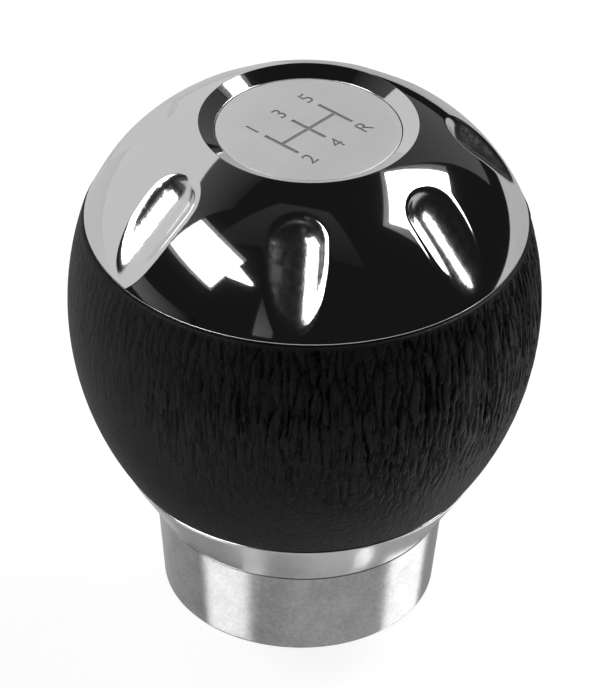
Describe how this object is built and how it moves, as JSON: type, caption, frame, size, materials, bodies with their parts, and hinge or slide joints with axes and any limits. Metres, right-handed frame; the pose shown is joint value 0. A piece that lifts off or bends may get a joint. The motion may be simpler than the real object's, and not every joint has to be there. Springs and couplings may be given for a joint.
{
  "type": "gear shift knob",
  "caption": "Round leather gear knob with a fluted chrome cap, a plain satin disc on top, a flared trim ring and a screw-up collar over the lever clamp.",
  "frame": {"origin": "centre of the collar's foot, on the lever's axis", "axes": "+Z along the lever, up to the cap; -Y towards the driver, where one flute and one grub screw face; +X to the driver's right"},
  "size_m": [0.05, 0.05, 0.0579],
  "materials": {
    "chrome": "mirror-polished chrome plate",
    "satin_disc": "fine satin",
    "adhesive": "foam tape",
    "dark_steel": "black oxide",
    "bright_steel": "machined, zinc plated",
    "leather": "fine-grained, low sheen",
    "core_plastic": "moulded",
    "satin_aluminium": "satin, turned",
    "bush_plastic": "moulded nylon",
    "rubber": "matt"
  },
  "bodies": {
    "knob": {"chrome_cap": "chrome", "badge_disc": "satin_disc", "badge_pad": "adhesive", "cap_screw": "dark_steel", "spring_washer": "bright_steel", "leather_cover": "leather", "core": "core_plastic", "trim_ring": "satin_aluminium", "hub": "bright_steel", "adaptor_bush": "bush_plastic", "grub_screw_1": "dark_steel", "grub_screw_2": "dark_steel", "grub_screw_3": "dark_steel"},
    "seal": {"seal_ring": "rubber"},
    "collar": {"collar": "satin_aluminium"}
  },
  "joints": [
    {"name": "collar_travel", "type": "slide", "parent": "knob", "child": "seal", "axis": [0, 0, -1], "range_m": [0, 0.0075]},
    {"name": "collar_turn", "type": "hinge", "parent": "seal", "child": "collar", "pos_m": [0, 0, 0], "axis": [0, 0, -1], "range_deg": [0, 1800]}
  ],
  "couplings": [
    {"joint": "collar_travel", "follows": "collar_turn", "m_per_rad": 0.00023873}
  ]
}
